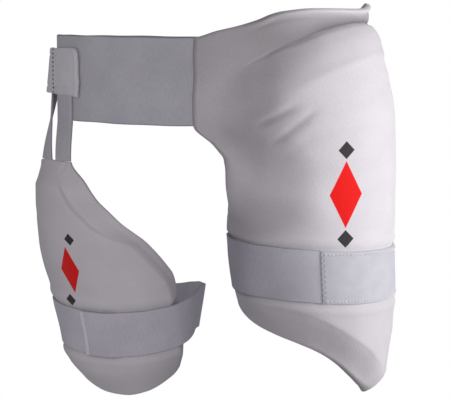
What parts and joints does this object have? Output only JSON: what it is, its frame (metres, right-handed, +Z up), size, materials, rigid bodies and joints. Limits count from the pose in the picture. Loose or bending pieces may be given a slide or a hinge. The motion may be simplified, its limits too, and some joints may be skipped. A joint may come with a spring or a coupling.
{
  "type": "cricket thigh guard",
  "caption": "Padded thigh guard as worn: a large outer guard and a small inner guard on one elastic waist belt, each held by a stretched leg strap.",
  "frame": {"origin": "middle of the loop that the waist belt makes round the wearer's waist, at mid height of the belt's front", "axes": "+Z up the wearer, -Y to the front of the wearer, +X to the side of the large outer guard"},
  "size_m": [0.3776, 0.2442, 0.4121],
  "materials": {
    "knit": "matte brushed knit over foam",
    "elastic": "matte ribbed woven elastic",
    "hook": "matte brushed loop fabric, stitched round"
  },
  "bodies": {
    "root": {"outer_pad": "knit", "inner_pad": "knit", "waist_belt": "elastic", "outer_leg_strap": "elastic", "outer_strap_hook_end": "hook", "inner_strap_anchor": "elastic", "inner_leg_strap": "elastic", "hanger_tab_front": "hook", "hanger_tab_side": "hook", "hanger_strap_front": "elastic", "hanger_strap_rear": "elastic"}
  },
  "joints": []
}
